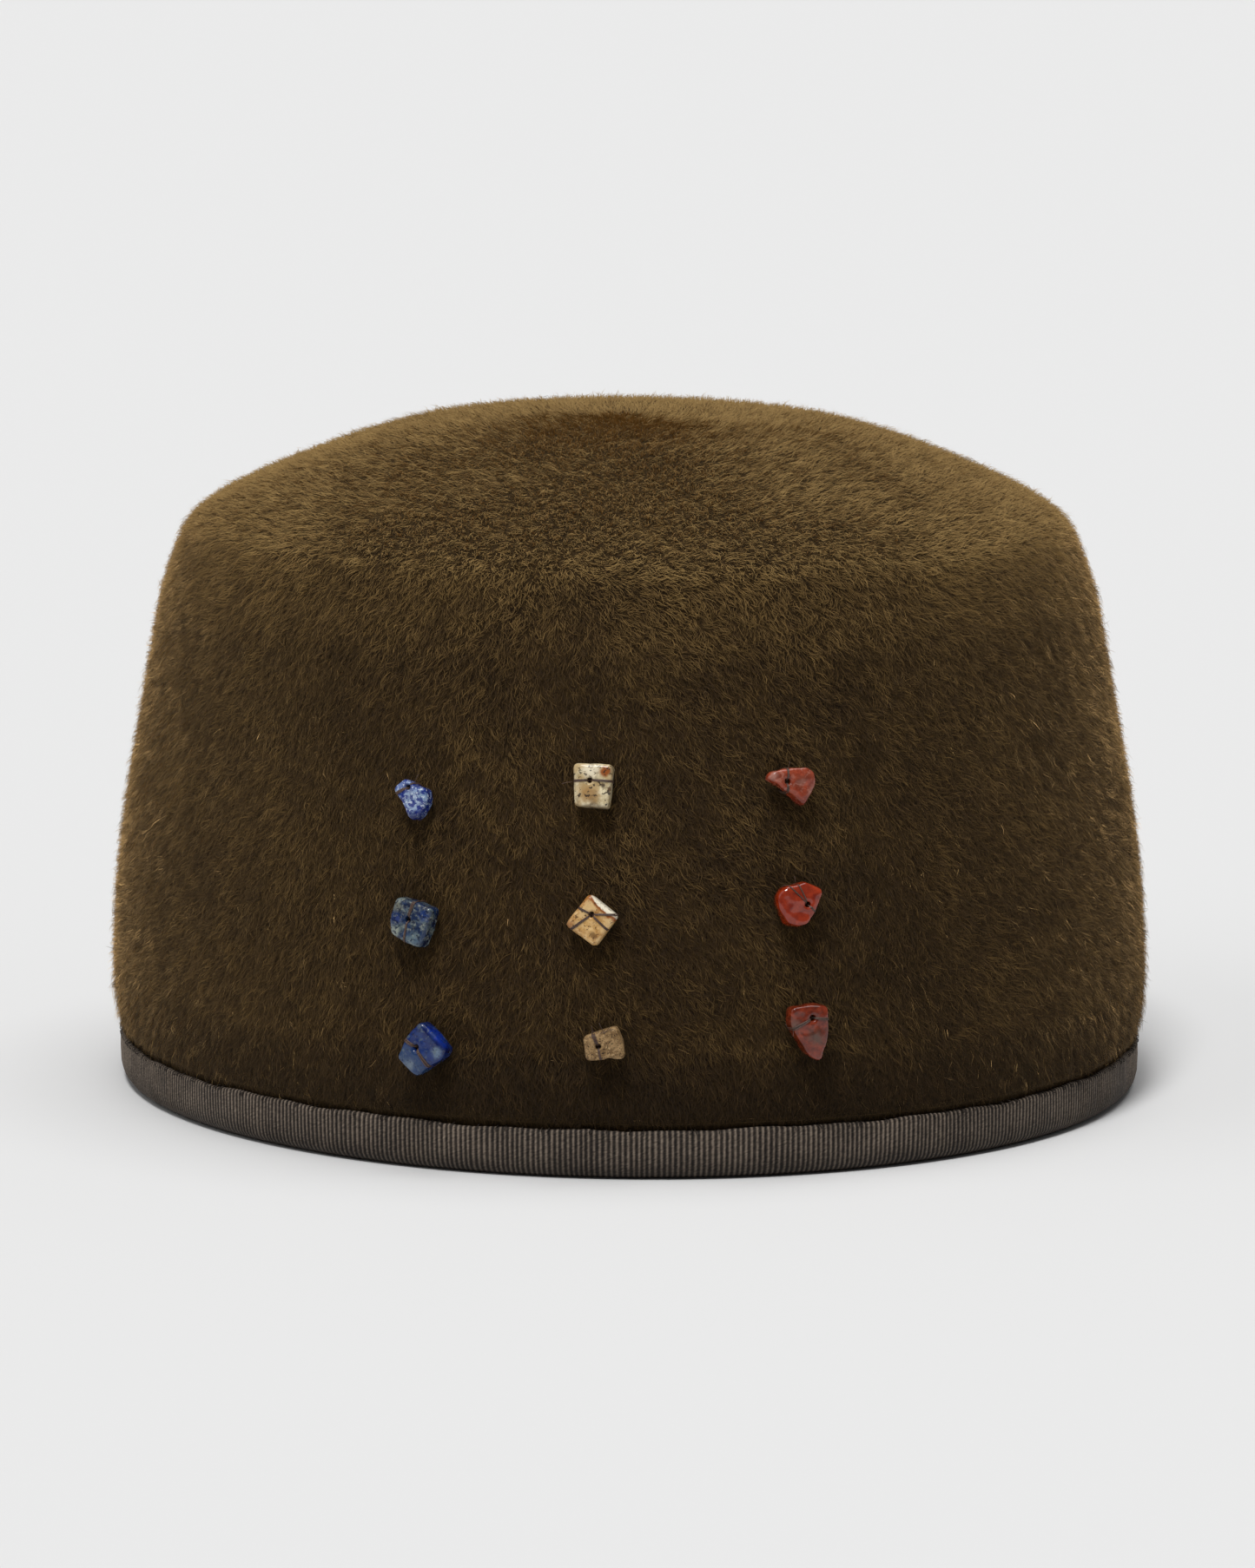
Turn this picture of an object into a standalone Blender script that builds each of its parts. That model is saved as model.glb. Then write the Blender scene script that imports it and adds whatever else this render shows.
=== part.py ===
"""Oval felt cap with a ribbon-bound rim and a grid of sewn stone chips.

Metres, +Z up, the front of the cap towards -Y. The origin is the middle of the rim's opening,
on the surface that the cap rests on.
"""
from math import cos, hypot, radians, sin, tau
from typing import NamedTuple

import bmesh
import bpy
from mathutils import Matrix, Vector

# Felt crown: its outside, pile included
CROWN_WIDTH = 0.1784
CROWN_LENGTH = 0.2078
CROWN_HEIGHT = 0.1154
FELT_WALL = 0.0020

# Share of the height above which the felt's top can be dented
DENTED_ABOVE = 0.75

# Ribbon folded over the felt's edge
RIM_INSET = 0.0015
RIBBON_WALL = 0.0010
RIBBON_OUTER_LEG = 0.0079
RIBBON_INNER_LEG = 0.0100
RIBBON_FOLD = 0.0008

# Clear space left between two pieces that touch
FIT_GAP = 0.0003

# Stone chips, sewn on in columns and rows on the front
COLUMN_SPACING = 0.031
ROW_SPACING = 0.020
GRID_ACROSS = -0.0190
GRID_HEIGHT = 0.0425
CHIP_CORNER_ROUND = 0.0006
CHIP_EDGE_ROUND = 0.0006
HOLE_DIAMETER = 0.0011

# Sides of the rings that the crown and the ribbon are lofted through, and of a drilled hole
RING_SIDES = 64
HOLE_SIDES = 8


class Section(NamedTuple):
    """A level of the crown. height: share of the height above the ribbon; width and length: shares
    of the crown's half width and half length."""
    height: float
    width: float
    length: float


SECTIONS = [
    Section(0.014, 0.988, 0.988),
    Section(0.091, 1.000, 1.000),
    Section(0.227, 0.994, 0.994),
    Section(0.372, 0.974, 0.974),
    Section(0.508, 0.946, 0.946),
    Section(0.654, 0.915, 0.915),
    Section(0.721, 0.898, 0.898),
    Section(0.799, 0.864, 0.864),
    Section(0.833, 0.836, 0.836),
    Section(0.860, 0.791, 0.791),
    Section(0.888, 0.727, 0.727),
    Section(0.919, 0.640, 0.640),
    Section(0.954, 0.530, 0.530),
    Section(0.983, 0.396, 0.396),
    Section(1.000, 0.200, 0.200),
]


class Dent(NamedTuple):
    """A shallow dip in the crown's top. across and along: its middle, as shares of the half width
    and half length; reach: share of the half width; depth: share of the crown's height."""
    across: float
    along: float
    reach: float
    depth: float


DENTS = [
    Dent(0.11, -0.08, 0.34, 0.014),
    Dent(-0.55, 0.15, 0.30, 0.005),
]


class Chip(NamedTuple):
    """A stone chip. column and row: its place in the grid, in spacings from the middle; width,
    height and thickness in metres; hole and outline: shares of the width and the height."""
    name: str
    stone: str
    column: float
    row: float
    width: float
    height: float
    thickness: float
    hole: tuple
    outline: tuple


CHIPS = [
    Chip("lapis_upper", "lapis", -0.994, 0.857, 0.0067, 0.0069, 0.0030, (-0.09, 0.28),
         ((-0.50, 0.22), (-0.14, -0.27), (0.03, -0.50), (0.24, -0.46), (0.50, -0.02),
          (0.40, 0.30), (0.08, 0.33), (-0.19, 0.50))),
    Chip("cream_jasper_upper", "cream_jasper", -0.025, 1.025, 0.0065, 0.0074, 0.0032,
         (-0.075, 0.125),
         ((-0.50, 0.49), (-0.46, -0.44), (0.42, -0.50), (0.50, 0.47), (0.00, 0.50))),
    Chip("red_jasper_upper", "red_jasper", 0.974, 0.997, 0.0084, 0.0066, 0.0032, (-0.094, 0.139),
         ((-0.50, 0.20), (-0.24, 0.02), (-0.01, -0.25), (0.22, -0.50), (0.46, -0.09),
          (0.50, 0.34), (0.27, 0.50), (-0.13, 0.50), (-0.39, 0.43))),
    Chip("lapis_middle", "lapis", -1.000, -0.109, 0.0080, 0.0082, 0.0033, (-0.054, 0.067),
         ((-0.50, 0.08), (-0.46, -0.24), (-0.10, -0.40), (0.26, -0.50), (0.39, -0.17),
          (0.50, 0.32), (0.06, 0.43), (-0.35, 0.50))),
    Chip("tan_jasper_middle", "tan_jasper", -0.048, -0.019, 0.0087, 0.0087, 0.0034, (0.00, 0.107),
         ((-0.50, -0.09), (0.07, -0.50), (0.50, 0.08), (-0.05, 0.50))),
    Chip("red_jasper_middle", "red_jasper", 0.996, 0.083, 0.0079, 0.0074, 0.0034, (0.156, -0.005),
         ((-0.50, 0.16), (-0.41, -0.16), (-0.30, -0.44), (-0.02, -0.50), (0.21, -0.42),
          (0.38, -0.18), (0.50, 0.32), (0.10, 0.50), (-0.34, 0.38))),
    Chip("lapis_lower", "lapis", -0.944, -1.104, 0.0093, 0.0092, 0.0034, (-0.099, 0.032),
         ((-0.50, -0.18), (-0.09, -0.50), (0.19, -0.27), (0.39, -0.17), (0.50, 0.02),
          (0.19, 0.34), (-0.03, 0.50), (-0.27, 0.25))),
    Chip("tan_jasper_lower", "tan_jasper", 0.003, -0.987, 0.0069, 0.0058, 0.0031, (-0.125, -0.080),
         ((-0.50, 0.17), (-0.42, -0.50), (0.50, -0.42), (0.44, 0.10), (0.30, 0.50),
          (-0.17, 0.32))),
    Chip("red_jasper_lower", "red_jasper", 1.038, -0.932, 0.0068, 0.0093, 0.0033, (0.073, 0.262),
         ((-0.50, 0.19), (-0.31, -0.09), (-0.06, -0.39), (0.28, -0.50), (0.50, -0.06),
          (0.50, 0.47), (0.06, 0.50), (-0.46, 0.46))),
]


def clear_scene():
    for old in list(bpy.data.objects):
        bpy.data.objects.remove(old, do_unlink=True)


def collection(name):
    made = bpy.data.collections.new(name)
    bpy.context.scene.collection.children.link(made)
    return made


def material(name, colour, roughness):
    made = bpy.data.materials.new(name)
    made.use_nodes = True
    shader = made.node_tree.nodes["Principled BSDF"]
    shader.inputs["Base Color"].default_value = (*colour, 1.0)
    shader.inputs["Roughness"].default_value = roughness
    shader.inputs["Metallic"].default_value = 0.0
    return made


def add_object(name, bm, finish, group):
    """Put a finished bmesh in the scene as a smooth object of its own."""
    mesh = bpy.data.meshes.new(name)
    bm.to_mesh(mesh)
    bm.free()
    mesh.materials.append(finish)
    mesh.shade_smooth()
    mesh.set_sharp_from_angle(angle=radians(40))
    made = bpy.data.objects.new(name, mesh)
    group.objects.link(made)
    return made


def loft_ovals(levels, capped):
    """A sheet through oval rings. levels: (half width, half length, height) of each ring."""
    bm = bmesh.new()
    rings = []
    for number, (half_width, half_length, height) in enumerate(levels):
        cap = capped and number == len(levels) - 1
        place = Matrix.Translation((0, 0, height)) @ Matrix.Diagonal((half_width, half_length, 1, 1))
        ring = bmesh.ops.create_circle(bm, segments=RING_SIDES, radius=1, matrix=place,
                                       cap_ends=cap, cap_tris=cap)["verts"]
        rim = {edge for vert in ring for edge in vert.link_edges
               if not cap or all(len(end.link_edges) == 3 for end in edge.verts)}
        rings.append(list(rim))
    for lower, upper in zip(rings, rings[1:]):
        bmesh.ops.bridge_loops(bm, edges=lower + upper)
    bmesh.ops.recalc_face_normals(bm, faces=bm.faces)
    return bm


def add_wall(piece, thickness):
    """Thicken an open sheet inwards, with the same wall all over."""
    wall = piece.modifiers.new("wall", "SOLIDIFY")
    wall.thickness = thickness
    wall.offset = -1
    wall.use_even_offset = True


def rim_levels():
    """Half width and half length of the ribbon's outside."""
    return CROWN_WIDTH / 2 - RIM_INSET, CROWN_LENGTH / 2 - RIM_INSET


def crown_levels():
    """Rings up the outside of the felt: the band inside the ribbon, then the sections."""
    rim_width, rim_length = rim_levels()
    cover = RIBBON_WALL + FIT_GAP
    band = (rim_width - cover, rim_length - cover)
    levels = [(*band, cover), (*band, RIBBON_OUTER_LEG + FIT_GAP)]
    rise = CROWN_HEIGHT - RIBBON_OUTER_LEG
    for section in SECTIONS:
        levels.append((section.width * CROWN_WIDTH / 2, section.length * CROWN_LENGTH / 2,
                       RIBBON_OUTER_LEG + section.height * rise))
    return levels


def dent_depth(x, y):
    """How far the dents press the crown's top down at a point of its plan."""
    depth = 0.0
    for dent in DENTS:
        away = hypot(x - dent.across * CROWN_WIDTH / 2, y - dent.along * CROWN_LENGTH / 2)
        share = away / (dent.reach * CROWN_WIDTH / 2)
        if share < 1:
            depth += dent.depth * CROWN_HEIGHT * (1 - share * share) ** 2
    return depth


def make_crown(group, felt):
    """The one-piece felt crown, open at the bottom."""
    bm = loft_ovals(crown_levels(), capped=True)
    for vert in bm.verts:
        if vert.co.z > DENTED_ABOVE * CROWN_HEIGHT:
            vert.co.z -= dent_depth(vert.co.x, vert.co.y)
    crown = add_object("crown", bm, felt, group)
    add_wall(crown, FELT_WALL)


def make_ribbon(group, grosgrain):
    """The ribbon round the felt's edge: an outside leg, a rounded fold and an inside leg."""
    rim_width, rim_length = rim_levels()
    across = 2 * (RIBBON_WALL + FIT_GAP) + FELT_WALL
    soft = RIBBON_FOLD * (1 - cos(radians(45)))
    section = [(0, RIBBON_OUTER_LEG), (0, RIBBON_FOLD), (soft, soft), (RIBBON_FOLD, 0),
               (across - RIBBON_FOLD, 0), (across - soft, soft), (across, RIBBON_FOLD),
               (across, RIBBON_INNER_LEG)]
    levels = [(rim_width - inset, rim_length - inset, height) for inset, height in section]
    ribbon = add_object("ribbon_binding", loft_ovals(levels, capped=False), grosgrain, group)
    add_wall(ribbon, RIBBON_WALL)


def felt_point(turn, height):
    """A point on the felt's outside, at an angle round from the front and a height."""
    levels = crown_levels()
    for lower, upper in zip(levels, levels[1:]):
        if lower[2] <= height <= upper[2]:
            share = (height - lower[2]) / (upper[2] - lower[2])
            half_width = lower[0] + share * (upper[0] - lower[0])
            half_length = lower[1] + share * (upper[1] - lower[1])
            return Vector((half_width * sin(turn), -half_length * cos(turn), height))
    raise ValueError("height is off the crown")


def turn_at(distance, height):
    """The angle round from the front that lies a distance along the felt."""
    steps = 200
    step = distance / steps
    turn = 0.0
    nudge = tau / 3600
    for _ in range(steps):
        pace = (felt_point(turn + nudge, height) - felt_point(turn, height)).length / nudge
        turn += step / pace
    return turn


def seat(distance, height):
    """A frame on the felt: X across, Y up and Z out of it."""
    nudge = 0.001
    turn = turn_at(distance, height)
    across = (felt_point(turn + nudge, height) - felt_point(turn - nudge, height)).normalized()
    up = (felt_point(turn, height + nudge) - felt_point(turn, height - nudge)).normalized()
    out = across.cross(up).normalized()
    up = out.cross(across)
    place = felt_point(turn, height) + out * FIT_GAP
    return Matrix.Translation(place) @ Matrix((across, up, out)).transposed().to_4x4()


def chip_body(chip):
    """A flat chip with rounded edges, its back on the local XY plane."""
    bm = bmesh.new()
    corners = [bm.verts.new((x * chip.width, y * chip.height, 0)) for x, y in chip.outline]
    back = bm.faces.new(corners)
    front = bmesh.ops.extrude_face_region(bm, geom=[back], use_keep_orig=True)["geom"]
    raised = [part for part in front if isinstance(part, bmesh.types.BMVert)]
    bmesh.ops.translate(bm, verts=raised, vec=(0, 0, chip.thickness))
    bmesh.ops.recalc_face_normals(bm, faces=bm.faces)
    upright = [edge for edge in bm.edges if edge.verts[0].co.z != edge.verts[1].co.z]
    bmesh.ops.bevel(bm, geom=upright, offset=CHIP_CORNER_ROUND, segments=2, profile=0.5,
                    affect="EDGES", material=-1, clamp_overlap=True)
    rims = [edge for edge in bm.edges if edge.verts[0].co.z == edge.verts[1].co.z]
    bmesh.ops.bevel(bm, geom=rims, offset=CHIP_EDGE_ROUND, segments=2, profile=0.5,
                    affect="EDGES", material=-1, clamp_overlap=True)
    bmesh.ops.recalc_face_normals(bm, faces=bm.faces)
    return bm


def drill(piece, chip, cutters):
    """Cut the thread's hole through a chip."""
    bm = bmesh.new()
    middle = Vector((chip.hole[0] * chip.width, chip.hole[1] * chip.height, chip.thickness / 2))
    bmesh.ops.create_cone(bm, cap_ends=True, segments=HOLE_SIDES, radius1=HOLE_DIAMETER / 2,
                          radius2=HOLE_DIAMETER / 2, depth=2 * chip.thickness,
                          matrix=Matrix.Translation(middle))
    mesh = bpy.data.meshes.new(chip.name + "_drill")
    bm.to_mesh(mesh)
    bm.free()
    drilled = bpy.data.objects.new(chip.name + "_drill", mesh)
    drilled.matrix_world = piece.matrix_world
    drilled.hide_render = True
    drilled.display_type = "WIRE"
    cutters.objects.link(drilled)
    cut = piece.modifiers.new("thread hole", "BOOLEAN")
    cut.operation = "DIFFERENCE"
    cut.object = drilled


def make_chips(group, cutters, stones):
    """The stone chips on the front, each seated flat on the felt."""
    for chip in CHIPS:
        distance = GRID_ACROSS + chip.column * COLUMN_SPACING
        height = GRID_HEIGHT + chip.row * ROW_SPACING
        piece = add_object(chip.name, chip_body(chip), stones[chip.stone], group)
        piece.matrix_world = seat(distance, height)
        drill(piece, chip, cutters)


clear_scene()
hat = collection("stone_set_felt_cap")
cutters = collection("cutters")
make_crown(hat, material("olive_brown_felt", (0.105, 0.070, 0.030), 0.95))
make_ribbon(hat, material("taupe_grosgrain", (0.120, 0.095, 0.080), 0.80))
make_chips(hat, cutters, {
    "lapis": material("lapis", (0.050, 0.110, 0.330), 0.25),
    "cream_jasper": material("cream_jasper", (0.620, 0.500, 0.330), 0.45),
    "tan_jasper": material("tan_jasper", (0.450, 0.300, 0.160), 0.50),
    "red_jasper": material("red_jasper", (0.300, 0.060, 0.030), 0.25),
})
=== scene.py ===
"""Looks of the stone-set felt cap: napped fur felt, a grosgrain binding and sewn stone chips."""
from math import cos, hypot, pi, radians, sin, tau

import bmesh
import bpy
import numpy as np
from mathutils import Matrix, Vector, noise
from mathutils.bvhtree import BVHTree
from mathutils.kdtree import KDTree


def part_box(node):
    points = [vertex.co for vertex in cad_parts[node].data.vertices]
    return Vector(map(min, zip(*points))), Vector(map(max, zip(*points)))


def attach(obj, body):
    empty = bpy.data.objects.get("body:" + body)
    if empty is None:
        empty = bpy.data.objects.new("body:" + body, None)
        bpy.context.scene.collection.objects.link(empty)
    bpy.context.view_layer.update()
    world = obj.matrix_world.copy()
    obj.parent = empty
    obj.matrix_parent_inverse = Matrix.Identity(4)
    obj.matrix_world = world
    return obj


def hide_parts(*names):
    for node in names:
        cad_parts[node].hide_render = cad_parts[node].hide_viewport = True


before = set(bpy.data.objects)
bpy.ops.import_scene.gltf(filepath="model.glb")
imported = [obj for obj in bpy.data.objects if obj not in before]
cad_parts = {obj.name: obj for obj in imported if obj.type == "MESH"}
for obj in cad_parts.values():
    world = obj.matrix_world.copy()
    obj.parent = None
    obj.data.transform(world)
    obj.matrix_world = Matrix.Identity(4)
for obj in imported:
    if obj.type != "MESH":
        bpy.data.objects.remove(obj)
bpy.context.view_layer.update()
scene = bpy.context.scene


# Camera. A long lens looks at the cap from a little left of its front and just above its rim,
# so the oval's long axis points nearly at the viewer.
CAMERA_TURN = radians(-8.5)
CAMERA_RISE = radians(7.8)
CAMERA_TILT = radians(7.99)
CAMERA_DISTANCE = 1.302
CAMERA_PIVOT = Vector((0, 0, 0.0542))
LENS_MM = 173.0
SENSOR_MM = 36.0

camera_data = bpy.data.cameras.new("camera")
camera_data.lens = LENS_MM
camera_data.sensor_width = SENSOR_MM
camera = bpy.data.objects.new("camera", camera_data)
camera.location = CAMERA_PIVOT + CAMERA_DISTANCE * Vector((
    sin(CAMERA_TURN) * cos(CAMERA_RISE), -cos(CAMERA_TURN) * cos(CAMERA_RISE), sin(CAMERA_RISE)))
camera.rotation_euler = (pi / 2 - CAMERA_TILT, 0, CAMERA_TURN)
scene.collection.objects.link(camera)
scene.camera = camera


# Studio. A plain pale floor runs back out of the picture under soft light from all round, with a
# broad key from the upper left, a soft light from overhead and a faint fill from the front.
FLOOR_SIZE = 80.0
FLOOR_DROP = 0.0002
FLOOR_TONE = 0.725
WORLD_LIGHT = 0.18
# name, azimuth and rise in degrees, strength and angular size in degrees
SUNS = [
    ("key", -24, 61, 1.90, 14),
    ("overhead", 100, 82, 1.15, 40),
    ("fill", -75, 35, 0.38, 50),
]

floor_bm = bmesh.new()
bmesh.ops.create_grid(floor_bm, x_segments=1, y_segments=1, size=FLOOR_SIZE / 2)
bmesh.ops.translate(floor_bm, verts=floor_bm.verts, vec=(0, 0, -FLOOR_DROP))
floor_mesh = bpy.data.meshes.new("floor")
floor_bm.to_mesh(floor_mesh)
floor_bm.free()
floor = bpy.data.objects.new("floor", floor_mesh)
scene.collection.objects.link(floor)
floor_paint = bpy.data.materials.new("pale_floor")
floor_paint.use_nodes = True
floor_shader = floor_paint.node_tree.nodes["Principled BSDF"]
floor_shader.inputs["Base Color"].default_value = (FLOOR_TONE, FLOOR_TONE, FLOOR_TONE, 1)
floor_shader.inputs["Roughness"].default_value = 1.0
floor_shader.inputs["Specular IOR Level"].default_value = 0.0
floor_mesh.materials.append(floor_paint)

for name, azimuth, rise, strength, spread in SUNS:
    sun_data = bpy.data.lights.new(name, "SUN")
    sun_data.energy = strength
    sun_data.angle = radians(spread)
    sun = bpy.data.objects.new(name, sun_data)
    sun.rotation_euler = (pi / 2 - radians(rise), 0, radians(azimuth))
    scene.collection.objects.link(sun)

world = bpy.data.worlds.new("studio")
world.use_nodes = True
world.node_tree.nodes["Background"].inputs["Color"].default_value = (1, 1, 1, 1)
world.node_tree.nodes["Background"].inputs["Strength"].default_value = WORLD_LIGHT
scene.world = world
scene.view_settings.view_transform = "Standard"


# Crown. One piece of blocked fur felt, an oval shell that leans in towards a softly domed top.
# The felt body lies under its pile, and its lower edge is turned in to sit inside the ribbon.
crown_low, crown_high = (np.array(corner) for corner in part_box("crown"))
rim_low, rim_high = (np.array(corner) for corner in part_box("ribbon_binding"))
HALF_WIDTH = (crown_high[0] - crown_low[0]) / 2
HALF_LENGTH = (crown_high[1] - crown_low[1]) / 2
CROWN_TOP = crown_high[2]
RIM_HALF_WIDTH = (rim_high[0] - rim_low[0]) / 2
RIM_HALF_LENGTH = (rim_high[1] - rim_low[1]) / 2
FELT_WALL = 0.0020
RIBBON_COVER = 0.0013
RIBBON_LEG = 0.0079
PILE_DEPTH = 0.0010
# height above the ribbon, then width and length alike, as shares of the crown's own
SECTIONS = [
    (0.014, 0.988), (0.091, 1.000), (0.227, 0.994), (0.372, 0.974), (0.508, 0.946),
    (0.654, 0.915), (0.721, 0.898), (0.799, 0.864), (0.833, 0.836), (0.860, 0.791),
    (0.888, 0.727), (0.919, 0.640), (0.954, 0.530), (0.983, 0.396), (1.000, 0.200),
    (1.000, 0.002),
]
# across, along, reach and depth of the dents in the top, as shares of the crown's sizes
DENTS = [(0.11, -0.08, 0.34, 0.006), (-0.55, 0.15, 0.30, 0.003)]
# shares of the crown's height where the dents begin, and over which they come in
DENTED_ABOVE = 0.75
DENTS_FADE = 0.1
LEVELS = np.array(
    [(RIM_HALF_WIDTH - RIBBON_COVER, RIM_HALF_LENGTH - RIBBON_COVER, RIBBON_COVER),
     (RIM_HALF_WIDTH - RIBBON_COVER, RIM_HALF_LENGTH - RIBBON_COVER, RIBBON_LEG)]
    + [(width * HALF_WIDTH, width * HALF_LENGTH, RIBBON_LEG + rise * (CROWN_TOP - RIBBON_LEG))
       for rise, width in SECTIONS])
TOP_LEVEL = len(LEVELS) - 1


def level_at(climb):
    """Half width, half length and height of the felt's outside at a climb of so many levels."""
    climb = np.clip(climb, 0, TOP_LEVEL - 1e-6)
    index = np.floor(climb).astype(int)
    share = (climb - index)[..., None]
    before = LEVELS[np.maximum(index - 1, 0)]
    lower = LEVELS[index]
    upper = LEVELS[index + 1]
    after = LEVELS[np.minimum(index + 2, TOP_LEVEL)]
    return (lower + 0.5 * share * (upper - before
            + share * (2 * before - 5 * lower + 4 * upper - after
                       + share * (3 * (lower - upper) + after - before))))


def felt_surface(turn, climb):
    """Points of the felt's outside: turn is the angle round from the front, climb the level."""
    level = level_at(np.asarray(climb, float))
    point = np.stack([level[..., 0] * np.sin(turn), -level[..., 1] * np.cos(turn), level[..., 2]], -1)
    for across, along, reach, depth in DENTS:
        away = np.hypot(point[..., 0] - across * HALF_WIDTH, point[..., 1] - along * HALF_LENGTH)
        share = np.clip(away / (reach * HALF_WIDTH), 0, 1)
        top = np.clip((point[..., 2] / CROWN_TOP - DENTED_ABOVE) / DENTS_FADE, 0, 1)
        point[..., 2] -= depth * CROWN_TOP * (1 - share ** 2) ** 2 * top
    return point


def felt_frame(turn, climb):
    """The felt's outside with its directions: point, across to the right, down, and out."""
    aside = 0.001
    step = 0.01
    point = felt_surface(turn, climb)
    across = felt_surface(turn + aside, climb) - felt_surface(turn - aside, climb)
    down = felt_surface(turn, climb - step) - felt_surface(turn, climb + step)
    across /= np.linalg.norm(across, axis=-1, keepdims=True)
    down /= np.linalg.norm(down, axis=-1, keepdims=True)
    out = np.cross(down, across)
    out /= np.linalg.norm(out, axis=-1, keepdims=True)
    return point, across, down, out


def new_piece(name, bm, *finishes):
    """Make a smooth object of a finished bmesh, riding on the hat."""
    mesh = bpy.data.meshes.new(name)
    bm.to_mesh(mesh)
    bm.free()
    mesh.shade_smooth()
    for finish in finishes:
        mesh.materials.append(finish)
    piece = bpy.data.objects.new(name, mesh)
    scene.collection.objects.link(piece)
    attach(piece, "root")
    return piece


def dye(red, green, blue):
    """A shader colour for a tone given in display values of 0 to 255."""
    return (*((value / 255) ** 2.2 for value in (red, green, blue)), 1)


def new_finish(name, roughness, gloss):
    """A material, its node tree and its shader."""
    finish = bpy.data.materials.new(name)
    finish.use_nodes = True
    shader = finish.node_tree.nodes["Principled BSDF"]
    shader.inputs["Roughness"].default_value = roughness
    shader.inputs["Specular IOR Level"].default_value = gloss
    return finish, finish.node_tree, shader


def add_node(tree, kind, sockets, **settings):
    """Add a shader node with its settings; each socket gets a plain value or another's output."""
    node = tree.nodes.new("ShaderNode" + kind)
    for setting, value in settings.items():
        setattr(node, setting, value)
    for socket, value in sockets.items():
        if isinstance(value, bpy.types.NodeSocket):
            tree.links.new(value, node.inputs[socket])
        else:
            node.inputs[socket].default_value = value
    return node


def add_ramp(tree, factor, *stops):
    """A colour ramp through (place, colour) stops."""
    node = add_node(tree, "ValToRGB", {"Fac": factor})
    ramp = node.color_ramp.elements
    ramp[0].position, ramp[0].color = stops[0]
    ramp[1].position, ramp[1].color = stops[-1]
    for place, colour in stops[1:-1]:
        ramp.new(place).color = colour
    return node.outputs["Color"]


def maths(tree, operation, *values):
    """The result of a maths node on plain values or other nodes' outputs."""
    return add_node(tree, "Math", dict(enumerate(values)), operation=operation).outputs[0]


def mix(tree, share, under, over):
    """One colour laid over another by its share."""
    sockets = {"Factor": share, 6: under, 7: over}
    return add_node(tree, "Mix", sockets, data_type="RGBA").outputs[2]


def lay_on(tree, shader, tone, height=None, strength=0, depth=0):
    """Give a shader its tone, and where there is a height, a fine relief from it."""
    tree.links.new(tone, shader.inputs["Base Color"])
    if height is not None:
        bump = add_node(tree, "Bump", {"Height": height, "Strength": strength, "Distance": depth})
        tree.links.new(bump.outputs["Normal"], shader.inputs["Normal"])


CROWN_SIDES = 168
CROWN_ROWS = 76
# rings closer than this, at the middle of the top, become one point
TOP_WELD = 0.0004
# how far above the ribbon the felt starts to sink under its pile, and over what height it does
SINK_START = 0.0002
SINK_REACH = 0.001
FIBRES_PER_METRE = 3600
PATCHES_PER_METRE = 90
FIBRE_DEPTH = 0.0003
# the felt is painted darker below the line round it at this height: a painted shade
PRESSED_LINE = 0.0205
BAND_SHADE = 0.7
FELT_DARK = dye(30, 22, 10)
FELT_BROWN = dye(66, 51, 29)
FELT_INSIDE = dye(84, 68, 44)
FELT_SHEEN = (1.0, 0.63, 0.26, 1)
SHEEN_ROUGHNESS = 0.35
BLACK = (0, 0, 0, 1)


def add_sheen(shader, weight):
    """The golden sheen of brushed fur."""
    shader.inputs["Sheen Weight"].default_value = weight
    shader.inputs["Sheen Roughness"].default_value = SHEEN_ROUGHNESS
    shader.inputs["Sheen Tint"].default_value = FELT_SHEEN


def felt_finish(name, dark, light, relief):
    """Matted fur: fine fibres that run mostly down, over slow patches of tone."""
    finish, tree, shader = new_finish(name, 0.95, 0.15)
    add_sheen(shader, 0.2)
    place = add_node(tree, "TexCoord", {}).outputs["Object"]
    flow = add_node(tree, "Mapping", {"Vector": place, "Scale": (1, 1, 0.30)}).outputs[0]
    fibre = add_node(tree, "TexNoise", {"Vector": flow, "Scale": FIBRES_PER_METRE, "Detail": 3,
                                        "Distortion": 1.6}).outputs["Fac"]
    patch = add_node(tree, "TexNoise", {"Vector": place, "Scale": PATCHES_PER_METRE,
                                        "Detail": 4}).outputs["Fac"]
    blend = maths(tree, "ADD", fibre, maths(tree, "MULTIPLY_ADD", patch, 0.35, -0.175))
    tone = add_ramp(tree, blend, (0.36, dark), (0.68, light))
    height = add_node(tree, "SeparateXYZ", {"Vector": place}).outputs["Z"]
    # painted shade: below the pressed line the felt's tone is mixed towards black
    band = add_node(tree, "MapRange", {"Value": height, "From Min": PRESSED_LINE - 0.001,
                                       "From Max": PRESSED_LINE + 0.0005, "To Min": BAND_SHADE})
    lay_on(tree, shader, mix(tree, band.outputs[0], BLACK, tone), fibre, relief, FIBRE_DEPTH)
    return finish


def new_tube(sides, rows):
    """An open tube as a bmesh, with the turn and the share of the way up of each of its points."""
    bm = bmesh.new()
    bmesh.ops.create_cone(bm, cap_ends=False, segments=sides, radius1=1, radius2=1, depth=1)
    uprights = [edge for edge in bm.edges if edge.verts[0].co.z != edge.verts[1].co.z]
    bmesh.ops.subdivide_edges(bm, edges=uprights, cuts=rows - 1, use_grid_fill=True)
    tube = np.array([vert.co for vert in bm.verts])
    return bm, np.arctan2(tube[:, 0], -tube[:, 1]), tube[:, 2] + 0.5


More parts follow.
